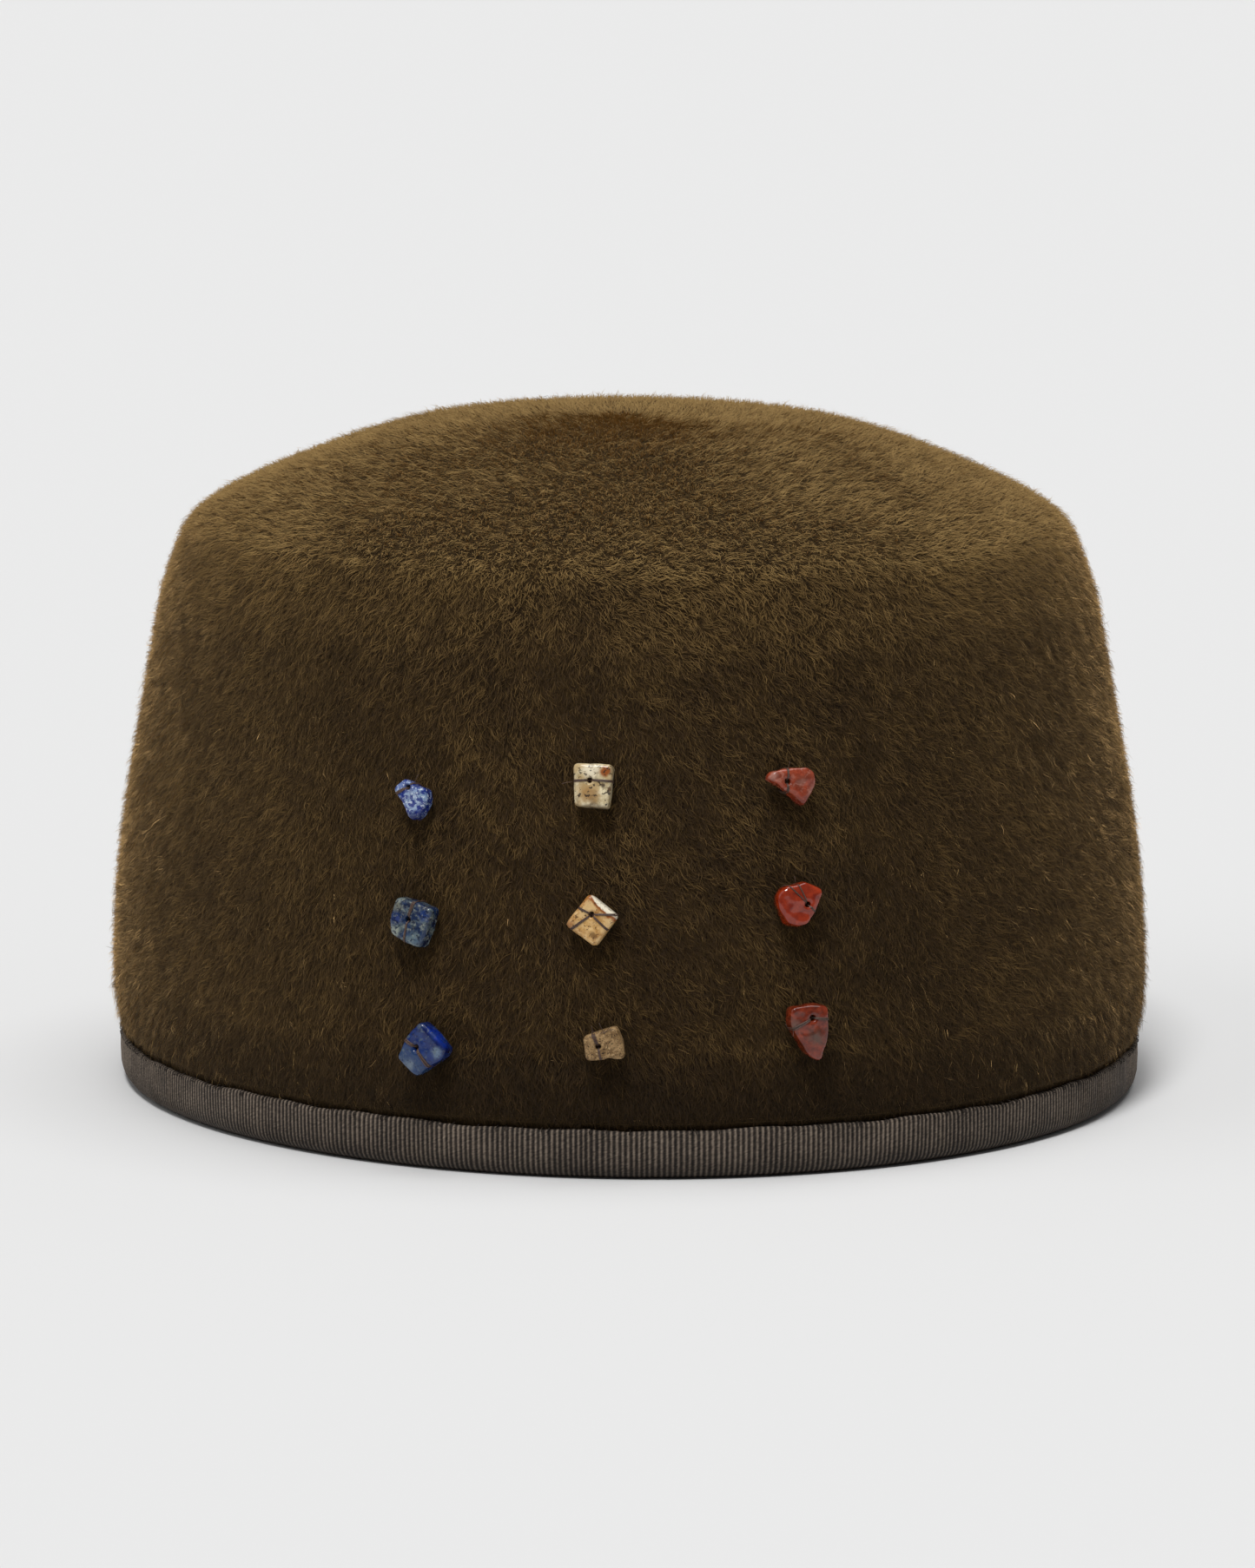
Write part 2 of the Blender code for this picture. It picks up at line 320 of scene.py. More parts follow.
def shape(bm, places, weld):
    """Move a bmesh's points to their places, join those that meet and turn its faces outwards."""
    for vert, place in zip(bm.verts, places):
        vert.co = place
    bmesh.ops.remove_doubles(bm, verts=bm.verts, dist=weld)
    bmesh.ops.recalc_face_normals(bm, faces=bm.faces)


crown_bm, turn, share = new_tube(CROWN_SIDES, CROWN_ROWS)
point, across, down, out = felt_frame(turn, share * TOP_LEVEL)
sunk = PILE_DEPTH * np.clip((point[:, 2] - RIBBON_LEG - SINK_START) / SINK_REACH, 0, 1)
shape(crown_bm, point - out * sunk[:, None], TOP_WELD)
felt_tree = BVHTree.FromBMesh(crown_bm)
crown = new_piece("felt_crown", crown_bm, felt_finish("felt_body", FELT_DARK, FELT_BROWN, 0.8),
                  felt_finish("felt_inside", FELT_BROWN, FELT_INSIDE, 0.5))
crown_wall = crown.modifiers.new("felt wall", "SOLIDIFY")
crown_wall.thickness = FELT_WALL - PILE_DEPTH
crown_wall.offset = -1
crown_wall.material_offset = 1
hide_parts("crown")


# Ribbon binding. A ribbed grosgrain ribbon folded over the felt's lower edge, with a short leg
# outside and a longer one inside. Its ribs stand upright, and a hand-sewn edge holds its top.
RIBS = 670
RIB_POINTS = 4
RIM_POINTS = RIB_POINTS * RIBS
SEAM_WELD = 0.00001
RIB_DEPTH = 0.00017
# how unlike each other the ribs are in width and in depth
RIB_UNEVEN = 0.07
RIB_SWELL = 0.2
# the top edge wanders up and down, and pulls in and out in shallow puckers
RIBBON_TOP_WANDER = 0.00022
PUCKERS = 23
PUCKER_DEPTH = 0.00012
# insets that bound the ribbon's outer face and that part its two legs
OUTER_FACE = 0.0012
FOLD_MIDDLE = 0.0023
# the ribbon is painted darker towards its fold from this height down, a painted shade
FOLD_SHADE_HEIGHT = 0.0042
FOLD_SHADE_TONE = 0.35
# inset from the ribbon's outside, height and how far the ribs show, round its folded section
RIBBON_SECTION = [
    (0.60, 7.95, 0.3), (0.15, 7.80, 0.8), (0.00, 7.25, 1.0), (0.00, 4.80, 1.0), (0.10, 2.70, 1.0),
    (0.42, 1.40, 1.0), (1.00, 0.62, 1.0), (1.95, 0.05, 0.6), (3.60, 0.05, 0.6), (4.20, 0.38, 1.0),
    (4.55, 1.20, 1.0), (4.60, 9.45, 1.0), (4.30, 10.0, 0.5), (3.65, 9.70, 0.0), (3.60, 1.40, 0.0),
    (1.45, 1.80, 0.0), (0.95, 7.60, 0.0), (0.60, 7.95, 0.3),
]
# flattened or puckered places: degrees round from the front, reach in degrees, how far flattened
RIBBON_FLATS = [(17, 5, 0.45), (-62, 5, 0.6), (62, 4, 0.6), (171, 6, 0.5)]
YARN_DEPTH = 0.00012
RIB_LIGHT = dye(138, 124, 110)
RIB_DARK = dye(66, 58, 51)
# the valley tone is a painted shade in the grooves and at the fold; the edge stitches use it as thread
# tone
RIB_VALLEY = dye(26, 21, 18)

rim_steps = np.linspace(0, tau, 4001)
rim_pace = np.hypot(RIM_HALF_WIDTH * np.cos(rim_steps), RIM_HALF_LENGTH * np.sin(rim_steps))
rim_length = np.concatenate([[0], np.cumsum((rim_pace[1:] + rim_pace[:-1]) / 2)])
rim_length /= rim_length[-1]
ribbon_draw = np.random.default_rng(31)
rib_width = 1 + RIB_UNEVEN * ribbon_draw.normal(size=RIBS)
rib_start = np.concatenate([[0], np.cumsum(rib_width)]) / rib_width.sum()
rib_swell = np.clip(1 + RIB_SWELL * ribbon_draw.normal(size=RIBS + 1), 0.5, 1.5)
rib_swell[-1] = rib_swell[0]

section = np.array(RIBBON_SECTION) * (0.001, 0.001, 1)
section_rows = len(section) - 1
run = np.concatenate([[0], np.cumsum(np.hypot(*np.diff(section[:, :2], axis=0).T))])
ribbon_bm, turn, share = new_tube(RIM_POINTS, section_rows)
column = np.rint(turn % tau / tau * RIM_POINTS).astype(int) % RIM_POINTS
row = np.rint((1 - share) * section_rows).astype(int)
rib = column // RIB_POINTS
phase = (column % RIB_POINTS) / RIB_POINTS
around = rib_start[rib] + phase * (rib_start[rib + 1] - rib_start[rib])
turn = np.interp(around, rim_length, rim_steps)
inset, height, ribbed = section[row].T
edge_share = np.clip(height / RIBBON_LEG, 0, 1) ** 2
wander = sum(np.sin(tau * around * waves + waves) for waves in (7, 19, 43)) / 2
wander = wander + 0.6 * rib_swell[rib] - 0.6
height = height + RIBBON_TOP_WANDER * wander * edge_share
flat = sum(depth * np.exp(-((np.degrees(turn) - place + 180) % 360 - 180) ** 2 / reach ** 2)
           for place, reach, depth in RIBBON_FLATS)
ridge = 0.5 - 0.5 * np.cos(tau * phase)
swell = RIB_DEPTH * (ridge - 0.5) * ribbed * rib_swell[rib] * (1 - flat)
inset = inset - np.where(inset < FOLD_MIDDLE, swell, -swell)
inset = inset - PUCKER_DEPTH * np.sin(tau * around * PUCKERS) * edge_share * (inset < OUTER_FACE)
half_width = RIM_HALF_WIDTH - RIB_DEPTH / 2 - inset
half_length = RIM_HALF_LENGTH - RIB_DEPTH / 2 - inset
places = np.stack([half_width * np.sin(turn), -half_length * np.cos(turn), np.maximum(height, 0)], 1)
rib_map = ribbon_bm.loops.layers.uv.new("ribs")
for face in ribbon_bm.faces:
    last = max(column[loop.vert.index] for loop in face.loops)
    for loop in face.loops:
        index = loop.vert.index
        wrapped = RIM_POINTS if last == RIM_POINTS - 1 and column[index] == 0 else 0
        loop[rib_map].uv = ((column[index] + wrapped) / RIB_POINTS, run[row[index]] * 1000)
shape(ribbon_bm, places, SEAM_WELD)

grosgrain, tree, shader = new_finish("grosgrain", 0.75, 0.25)
weave = add_node(tree, "UVMap", {}, uv_map="ribs").outputs[0]
place = add_node(tree, "TexCoord", {}).outputs["Object"]
parts = add_node(tree, "SeparateXYZ", {"Vector": weave})
cosine = maths(tree, "COSINE", maths(tree, "MULTIPLY", parts.outputs["X"], tau))
crest = maths(tree, "MULTIPLY_ADD", cosine, -0.5, 0.5)
slope = maths(tree, "MULTIPLY", parts.outputs["X"], 0.9)
strand = maths(tree, "MULTIPLY_ADD", parts.outputs["Y"], 2.6, slope)
strand_place = add_node(tree, "CombineXYZ", {"X": parts.outputs["X"], "Y": strand})
yarn = add_node(tree, "TexNoise", {"Vector": strand_place.outputs[0], "Scale": 1.3, "Detail": 3,
                                   "Distortion": 0.6}).outputs["Fac"]
fade = add_node(tree, "TexNoise", {"Vector": place, "Scale": 130, "Detail": 3}).outputs["Fac"]
light = maths(tree, "MULTIPLY_ADD", yarn, 0.85, -0.45)
light = maths(tree, "MULTIPLY_ADD", fade, 0.4, light)
# painted highlight and shade: the rib crests are painted lighter and the grooves between them darker
light = maths(tree, "MULTIPLY_ADD", crest, 0.62, light)
tone = add_ramp(tree, light, (0.12, RIB_VALLEY), (0.50, RIB_DARK), (1.0, RIB_LIGHT))
height = add_node(tree, "SeparateXYZ", {"Vector": place}).outputs["Z"]
# painted shade: near the bottom, where it turns under, the ribbon is mixed towards the valley tone
fold_shading = add_node(tree, "MapRange", {"Value": height, "From Max": FOLD_SHADE_HEIGHT, "To Min": FOLD_SHADE_TONE})
lay_on(tree, shader, mix(tree, fold_shading.outputs[0], RIB_VALLEY, tone), yarn, 0.5, YARN_DEPTH)
ribbon = new_piece("grosgrain_binding", ribbon_bm, grosgrain)
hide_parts("ribbon_binding")


# Stone chips. Nine tumbled chips of lapis, cream, tan and red jasper, each drilled for its thread.
# Every chip keeps the outline of its solid, worn uneven, with its own clouds, patches and specks.
STONE_VOXEL = 0.00024
STONE_WEAR = 5
GRAIN_DEPTH = 0.00012
LUMPS_PER_METRE = 380
PITS_PER_METRE = 800
# the stone is even up to this distance from its hole's middle, and uneven after the next
EVEN_REACH = 0.0006
EVEN_FADE = 0.0008
# name, slot, hole from the chip's middle in mm, unevenness in mm, roughness, coat, base tones and
# layers laid over them: clouds of a size in mm between a low and a high of the noise, and patches
# at a place from the hole with a reach, an edge and a raggedness in mm; strength and tone last
# a few patches, marked below, are partly painted highlight and shade
STONES = [
    ("lapis_upper", "lapis", (-0.64, 1.97), 0.30, 0.18, 0.5, dye(16, 30, 88), dye(40, 66, 136), [
        ("clouds", 1.1, 0.44, 0.60, 0.8, dye(124, 146, 182)),
        ("patch", (1.3, -1.9), 1.6, 0.9, 2.2, 0.7, dye(164, 182, 204)),
        ("patch", (3.0, -1.2), 0.8, 0.5, 0.9, 0.7, dye(130, 154, 178)),
        ("clouds", 0.8, 0.45, 0.57, 0.9, dye(14, 34, 112)),
        # partly white marbling, partly a painted gloss highlight
        ("patch", (-1.3, 0.2), 0.8, 0.6, 1.2, 0.6, dye(120, 142, 186)),
        ("clouds", 0.5, 0.56, 0.66, 0.85, dye(196, 206, 220)),
        ("patch", (1.2, -12.7), 8.7, 0.9, 0.9, 0.9, dye(12, 24, 80)),
        ("patch", (9.4, -5.5), 5.6, 0.6, 0.7, 0.9, dye(8, 18, 60))]),
    ("cream_jasper_upper", "cream_jasper", (-0.49, 0.91), 0.12, 0.30, 0.3,
     dye(168, 150, 112), dye(234, 220, 184), [
        ("clouds", 2.4, 0.42, 0.62, 0.7, dye(178, 148, 100)),
        ("patch", (-0.2, -2.3), 1.3, 1.0, 1.8, 0.75, dye(156, 116, 66)),
        ("patch", (0.8, -2.9), 1.0, 0.7, 2.0, 0.5, dye(126, 96, 60)),
        # partly the stone's ivory, partly a painted highlight on its upper face
        ("patch", (0.2, 1.6), 1.1, 0.8, 1.4, 0.6, dye(244, 236, 212)),
        ("clouds", 1.0, 0.52, 0.64, 0.5, dye(128, 112, 86)),
        ("patch", (2.5, 1.45), 0.80, 0.30, 0.9, 0.95, dye(142, 74, 30)),
        ("patch", (3.2, -1.3), 0.45, 0.30, 2.2, 0.9, dye(86, 60, 40)),
        ("patch", (2.2, -0.9), 0.30, 0.20, 1.6, 0.9, dye(68, 54, 44)),
        ("clouds", 0.6, 0.58, 0.63, 0.9, dye(50, 42, 38)),
        # partly a brown rim, partly a painted shade along the chip's lower edge
        ("patch", (0.6, -14.8), 10.8, 0.5, 1.2, 0.85, dye(78, 60, 44))]),
    ("red_jasper_upper", "red_jasper", (-0.87, 0.80), 0.40, 0.16, 0.5,
     dye(108, 40, 24), dye(160, 72, 48), [
        ("clouds", 1.6, 0.44, 0.62, 0.4, dye(98, 56, 44)),
        ("patch", (-2.4, 1.0), 0.7, 0.6, 1.4, 0.7, dye(164, 124, 112)),
        ("patch", (2.1, -0.2), 0.8, 0.7, 2.0, 0.6, dye(98, 66, 54)),
        ("patch", (4.8, -2.0), 1.3, 0.8, 1.2, 0.6, dye(158, 108, 94)),
        ("clouds", 0.9, 0.54, 0.66, 0.4, dye(172, 118, 102)),
        ("patch", (2.0, -9.5), 7.0, 0.9, 1.0, 0.7, dye(98, 36, 26))]),
    ("lapis_middle", "lapis", (-0.41, 0.51), 0.16, 0.20, 0.4, dye(16, 30, 58), dye(34, 54, 86), [
        ("clouds", 1.8, 0.42, 0.64, 0.8, dye(92, 104, 104)),
        ("patch", (-2.1, 0.1), 0.8, 0.6, 1.3, 0.8, dye(20, 44, 104)),
        ("patch", (3.0, 0.8), 0.9, 0.6, 1.3, 0.8, dye(22, 48, 106)),
        ("patch", (-2.0, 2.0), 0.7, 0.6, 1.4, 0.7, dye(124, 124, 106)),
        ("patch", (-2.3, -2.2), 0.8, 0.7, 1.4, 0.7, dye(144, 150, 140)),
        ("patch", (1.2, -3.2), 1.1, 0.8, 1.6, 0.5, dye(104, 124, 134)),
        ("clouds", 0.8, 0.52, 0.68, 0.6, dye(144, 148, 136)),
        ("clouds", 0.5, 0.50, 0.62, 0.85, dye(14, 24, 48))]),
    ("tan_jasper_middle", "tan_jasper", (0.0, 0.93), 0.08, 0.30, 0.3,
     dye(164, 116, 60), dye(214, 174, 114), [
        ("clouds", 1.8, 0.44, 0.62, 0.6, dye(228, 196, 142)),
        ("patch", (-3.9, -1.9), 1.2, 0.8, 1.2, 0.8, dye(138, 86, 48)),
        ("patch", (9.75, 9.75), 12.45, 0.26, 1.1, 0.9, dye(136, 70, 24)),
        ("patch", (9.87, 9.89), 12.1, 0.12, 1.1, 1.0, dye(232, 222, 198)),
        ("patch", (-10.5, 12.6), 14.2, 0.5, 1.6, 0.6, dye(160, 98, 44)),
        ("patch", (0.3, -3.4), 0.5, 0.3, 2.2, 0.6, dye(76, 54, 38)),
        ("clouds", 0.42, 0.60, 0.65, 0.85, dye(78, 54, 36)),
        # partly brown streaks, partly a painted shade on the lower left side face
        ("patch", (-8.8, -12.6), 11.2, 0.3, 0.8, 0.9, dye(72, 50, 34))]),
    ("red_jasper_middle", "red_jasper", (1.23, -0.04), 0.32, 0.12, 0.8,
     dye(108, 30, 10), dye(156, 54, 24), [
        ("clouds", 3.2, 0.44, 0.66, 0.5, dye(130, 40, 16)),
        ("patch", (1.2, -1.9), 0.7, 0.6, 1.0, 0.4, dye(90, 32, 18))]),
    ("lapis_lower", "lapis", (-0.92, 0.29), 0.14, 0.20, 0.5, dye(14, 32, 82), dye(24, 50, 108), [
        ("patch", (9.6, 8.8), 10.6, 0.5, 0.8, 0.8, dye(8, 20, 68)),
        ("patch", (10.1, 9.3), 10.2, 0.4, 0.8, 0.9, dye(20, 50, 140)),
        ("patch", (3.8, -0.5), 0.75, 0.6, 1.1, 0.9, dye(110, 130, 146)),
        ("patch", (-8.4, -9.3), 11.9, 0.6, 1.2, 0.9, dye(40, 62, 94)),
        ("clouds", 1.2, 0.46, 0.64, 0.6, dye(30, 52, 96)),
        ("clouds", 0.8, 0.54, 0.68, 0.5, dye(92, 104, 106)),
        ("patch", (-1.2, -3.0), 0.8, 0.7, 1.8, 0.5, dye(120, 132, 138)),
        ("clouds", 0.5, 0.56, 0.68, 0.75, dye(10, 18, 54))]),
    ("tan_jasper_lower", "tan_jasper", (-0.86, -0.40), 0.10, 0.52, 0.0,
     dye(122, 96, 64), dye(168, 138, 98), [
        ("clouds", 0.6, 0.44, 0.60, 0.7, dye(98, 74, 48)),
        ("clouds", 0.32, 0.56, 0.64, 0.9, dye(42, 32, 24)),
        ("clouds", 0.40, 0.60, 0.70, 0.6, dye(196, 168, 126))]),
    ("red_jasper_lower", "red_jasper", (0.46, 2.34), 0.24, 0.15, 0.6,
     dye(84, 28, 14), dye(132, 54, 32), [
        ("patch", (0.6, -3.2), 1.2, 1.0, 2.2, 0.8, dye(74, 60, 50)),
        ("patch", (-3.0, -1.0), 0.8, 0.8, 1.8, 0.7, dye(92, 72, 60)),
        ("clouds", 0.9, 0.48, 0.66, 0.6, dye(70, 34, 24)),
        ("patch", (0.9, -12.4), 6.6, 1.0, 0.9, 0.6, dye(128, 64, 52))]),
]
# how far apart two layers' clouds are taken from the same noise
LAYER_SHIFT = 0.01
# small bites out of a chip's edge: across and up from its hole, reach and depth, all mm
BITES = {"tan_jasper_lower": (1.9, -2.9, 1.3, 0.75)}


def new_group(name, inputs, output):
    """A node group, its inputs (numbers, or vectors where None) and its one output, all empty."""
    group = bpy.data.node_groups.new(name, "ShaderNodeTree")
    for label, value in inputs:
        kind = "NodeSocketVector" if value is None else "NodeSocketFloat"
        socket = group.interface.new_socket(label, in_out="INPUT", socket_type=kind)
        if value is not None:
            socket.default_value = value
    group.interface.new_socket(output, in_out="OUTPUT", socket_type="NodeSocketFloat")
    return group, group.nodes.new("NodeGroupInput").outputs, group.nodes.new("NodeGroupOutput").inputs


# cloudy areas of a mineral, from a Low to a High of soft noise
clouds, given, result = new_group("mineral clouds", [
    ("Vector", None), ("Scale", 500), ("Low", 0.5), ("High", 0.6), ("Strength", 1)], "Mask")
murk = add_node(clouds, "TexNoise", {"Vector": given["Vector"], "Scale": given["Scale"],
                                     "Detail": 3, "Roughness": 0.55, "Distortion": 0.4})
cloud = add_node(clouds, "MapRange", {"Value": murk.outputs["Fac"], "From Min": given["Low"],
                                      "From Max": given["High"], "To Max": given["Strength"]},
                 interpolation_type="SMOOTHSTEP")
clouds.links.new(cloud.outputs[0], result["Mask"])

# a patch of another colour with a ragged edge, round a centre
patches, given, result = new_group("mineral patch", [
    ("Vector", None), ("Centre", None), ("Reach", 0.001), ("Edge", 0.0002), ("Ragged", 0.001),
    ("Strength", 1)], "Mask")
torn = add_node(patches, "TexNoise", {"Vector": given["Vector"], "Scale": 900, "Detail": 4})
torn = maths(patches, "SUBTRACT", torn.outputs["Fac"], 0.5)
torn = maths(patches, "MULTIPLY", torn, given["Ragged"])
gap = add_node(patches, "VectorMath", {0: given["Vector"], 1: given["Centre"]}, operation="DISTANCE")
gap = maths(patches, "ADD", gap.outputs["Value"], torn)
inner = maths(patches, "SUBTRACT", given["Reach"], given["Edge"])
outer = maths(patches, "ADD", given["Reach"], given["Edge"])
patch = add_node(patches, "MapRange", {"Value": gap, "From Min": inner, "From Max": outer,
                                       "To Min": given["Strength"], "To Max": 0},
                 interpolation_type="SMOOTHSTEP")
patches.links.new(patch.outputs[0], result["Mask"])


def stone_finish(name, seat, roughness, coat, dark, light, layers):
    """Polished stone, its layers placed in the chip's own directions with its hole as centre."""
    finish, tree, shader = new_finish(name, roughness, 0.2)
    shader.inputs["Coat Weight"].default_value = coat
    shader.inputs["Coat Roughness"].default_value = 0.12
    place = add_node(tree, "TexCoord", {}).outputs["Object"]
    own = add_node(tree, "Mapping", {"Vector": place, "Location": seat.to_translation(),
                                     "Rotation": seat.to_euler()}, vector_type="TEXTURE").outputs[0]
    shift = add_node(tree, "VectorMath", {0: own, 1: seat.to_translation()},
                     operation="ADD").outputs[0]
    grain = add_node(tree, "TexNoise", {"Vector": shift, "Scale": 700, "Detail": 6, "Roughness": 0.65})
    colour = add_ramp(tree, grain.outputs["Fac"], (0.35, dark), (0.65, light))
    for number, (kind, *values, strength, paint) in enumerate(layers):
        aside = add_node(tree, "VectorMath", {0: shift, 1: (LAYER_SHIFT * number, 0, 0)},
                         operation="ADD")
        node = tree.nodes.new("ShaderNodeGroup")
        if kind == "patch":
            (across, up), reach, edge, ragged = values
            node.node_tree = patches
            node.inputs["Centre"].default_value = (across / 1000, up / 1000, 0)
            settings = {"Reach": reach / 1000, "Edge": edge / 1000, "Ragged": ragged / 1000}
            tree.links.new(own, node.inputs["Vector"])
        else:
            size, low, high = values
            node.node_tree = clouds
            settings = {"Scale": 1000 / size, "Low": low, "High": high}
            tree.links.new(aside.outputs[0], node.inputs["Vector"])
        settings["Strength"] = strength
        for socket, value in settings.items():
            node.inputs[socket].default_value = value
        colour = mix(tree, node.outputs["Mask"], colour, paint)
    lay_on(tree, shader, colour, grain.outputs["Fac"], 0.25, GRAIN_DEPTH)
    return finish


stone_seats = {}
stone_trees = {}
for name, slot, hole, uneven, roughness, coat, dark, light, layers in STONES:
    chip_bm = bmesh.new()
    chip_bm.from_mesh(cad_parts[name].data)
    bmesh.ops.remove_doubles(chip_bm, verts=chip_bm.verts, dist=0.000001)
    chip_bm.normal_update()
    facing = {}
    for face in chip_bm.faces:
        key = tuple(round(value, 2) for value in face.normal)
        facing[key] = facing.get(key, Vector()) + face.normal * face.calc_area()
    flats = sorted(facing.values(), key=lambda total: -total.length)[:2]
    out = min(flats, key=lambda total: total.y).normalized()
    across = Vector((-out.y, out.x, 0)).normalized()
    axes = Matrix((across, out.cross(across), out))
    local = np.array([axes @ vert.co for vert in chip_bm.verts])
    low, high = local.min(0), local.max(0)
    centre = Vector(((low[0] + high[0]) / 2 + hole[0] / 1000,
                     (low[1] + high[1]) / 2 + hole[1] / 1000, high[2]))
    seat = Matrix.Translation(axes.transposed() @ centre) @ axes.transposed().to_4x4()
    rough_mesh = bpy.data.meshes.new(name + "_rough")
    chip_bm.to_mesh(rough_mesh)
    chip_bm.free()
    rough = bpy.data.objects.new(name + "_rough", rough_mesh)
    scene.collection.objects.link(rough)
    voxels = rough.modifiers.new("even faces", "REMESH")
    voxels.mode = "VOXEL"
    voxels.voxel_size = STONE_VOXEL
    evaluated = rough.evaluated_get(bpy.context.evaluated_depsgraph_get())
    chip_bm = bmesh.new()
    chip_bm.from_mesh(evaluated.to_mesh())
    bpy.data.objects.remove(rough)
    for _ in range(STONE_WEAR):
        bmesh.ops.smooth_vert(chip_bm, verts=chip_bm.verts, factor=0.5, use_axis_x=True,
                              use_axis_y=True, use_axis_z=True)
    chip_bm.normal_update()
    hole_place = seat.to_translation()
    worn = []
    bite_across, bite_up, bite_reach, bite_depth = BITES.get(name, (0, 0, 1, 0))
    for vert in chip_bm.verts:
        lump = noise.noise(vert.co * LUMPS_PER_METRE) + 0.3 * noise.noise(vert.co * PITS_PER_METRE)
        from_hole = (vert.co - hole_place).cross(out).length
        keep = min(1, max(0, (from_hole - EVEN_REACH) / EVEN_FADE))
        place = axes @ (vert.co - hole_place) * 1000
        from_bite = (place.x - bite_across) ** 2 + (place.y - bite_up) ** 2
        bitten = max(0, 1 - from_bite / bite_reach ** 2)
        worn.append(vert.co + vert.normal * (uneven / 1000 * (lump - 0.25) * keep)
                    + axes.transposed() @ Vector((0, bite_depth / 1000 * bitten ** 2, 0)))
    for vert, place in zip(chip_bm.verts, worn):
        vert.co = place
    stone_trees[name] = BVHTree.FromBMesh(chip_bm)
    stone_seats[name] = seat
    stone = new_piece(name + "_stone", chip_bm, stone_finish(name + "_finish", seat, roughness, coat,
                                                             dark, light, layers))
    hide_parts(name)


# Sewing threads. Dark waxed thread comes up through each hole, is drawn tight over the stone's face
# and edge, and goes back down into the felt. A few short ends stand up where it was cut.
THREAD_RADIUS = 0.00011
END_RADIUS = 0.00005
# strands of one stitch: how far apart they are, and how unevenly
STRAND_SPACING = 0.00021
STRAND_WANDER = 0.00003
# a strand starts so deep in its hole, leaves at the hole's edge and follows the face in steps
HOLE_DEPTH = 0.0012
HOLE_EDGE = 0.0007
THREAD_STEP = 0.0002
LONGEST_STITCH = 0.008
PROBE_HEIGHT = 0.004
TWIST_DEPTH = 0.00005
THREAD_DARK = dye(58, 42, 36)
THREAD_TONE = dye(94, 74, 64)
# stone, then its stitches: where each one leaves the face, in mm from the hole, and its strands
STITCHES = [
    ("lapis_upper", [(0.9, 0.95, 2), (-2.1, -1.3, 3)]),
    ("cream_jasper_upper", [(-2.8, -0.15, 2), (3.7, -0.2, 2)]),
    ("red_jasper_upper", [(0.2, 2.2, 2), (-0.1, -1.2, 2)]),
    ("lapis_middle", [(1.0, 3.1, 3), (-0.45, -3.9, 2)]),
    ("tan_jasper_middle", [(-2.5, 1.25, 2), (3.75, 0.0, 2), (-3.7, -2.75, 2), (2.7, -2.5, 2)]),
    ("red_jasper_middle", [(-2.75, 2.8, 1), (-1.6, 3.6, 1), (1.5, -1.6, 2)]),
    ("lapis_lower", [(-2.2, 1.2, 3), (1.95, -2.45, 3)]),
    ("tan_jasper_lower", [(-0.75, 1.7, 3), (0.4, -1.9, 2)]),
    ("red_jasper_lower", [(2.8, -0.35, 2), (-3.3, -1.6, 3)]),
]
# stone, where an end leaves the felt and where it stops, in mm from the hole
THREAD_ENDS = [
    ("lapis_upper", (0.9, 1.0), (2.1, 2.1)), ("tan_jasper_lower", (1.0, 2.2), (0.2, 3.9)),
    ("tan_jasper_lower", (1.0, 2.2), (1.9, 3.3)), ("tan_jasper_lower", (-0.8, 1.9), (-1.0, 3.4)),
    ("red_jasper_middle", (-1.6, 3.5), (-2.3, 4.6)), ("red_jasper_upper", (0.2, 2.0), (0.3, 3.1)),
    ("cream_jasper_upper", (-2.9, -0.3), (-4.3, -0.7)),
    ("red_jasper_lower", (-3.2, -1.7), (-3.6, -2.7)),
]


def surface(name, across, up):
    """Heights of the stone, None beside it, and of the felt at a place, in the chip's directions."""
    seat = stone_seats[name]
    above = seat @ Vector((across, up, PROBE_HEIGHT))
    inward = seat.to_3x3() @ Vector((0, 0, -1))
    to_stone = stone_trees[name].ray_cast(above, inward)[3]
    to_felt = felt_tree.ray_cast(above, inward)[3]
    return None if to_stone is None else PROBE_HEIGHT - to_stone, PROBE_HEIGHT - to_felt


def taut(points):
    """The upper hull of (distance, height) points: how a thread pulled tight runs over them."""
    hull = []
    for point in points:
        while len(hull) > 1 and ((hull[-1][0] - hull[-2][0]) * (point[1] - hull[-2][1])
                                 >= (point[0] - hull[-2][0]) * (hull[-1][1] - hull[-2][1])):
            hull.pop()
        hull.append(point)
    return hull


def new_threads(name, radius):
    """An empty curve whose strands are round thread of the given radius."""
    curve = bpy.data.curves.new(name, "CURVE")
    curve.dimensions = "3D"
    curve.bevel_depth = radius
    curve.bevel_resolution = 1
    curve.use_fill_caps = True
    return curve


def add_strand(curve, points, thickness=1.0):
    """Lay a strand through the points, its thickness a share of the curve's own."""
    strand = curve.splines.new("POLY")
    strand.points.add(len(points) - 1)
    for knot, place in zip(strand.points, points):
        knot.co = (*place, 1)
        knot.radius = thickness


def strand_place(end, spread, distance):
    """Where on the chip a strand is at a distance from the hole: strands fan out towards the edge."""
    reach = hypot(*end)
    ahead = Vector(end) / reach
    beside = Vector((-ahead.y, ahead.x))
    return ahead * distance + beside * spread * (0.55 + 0.45 * min(distance * 1000 / reach, 1))


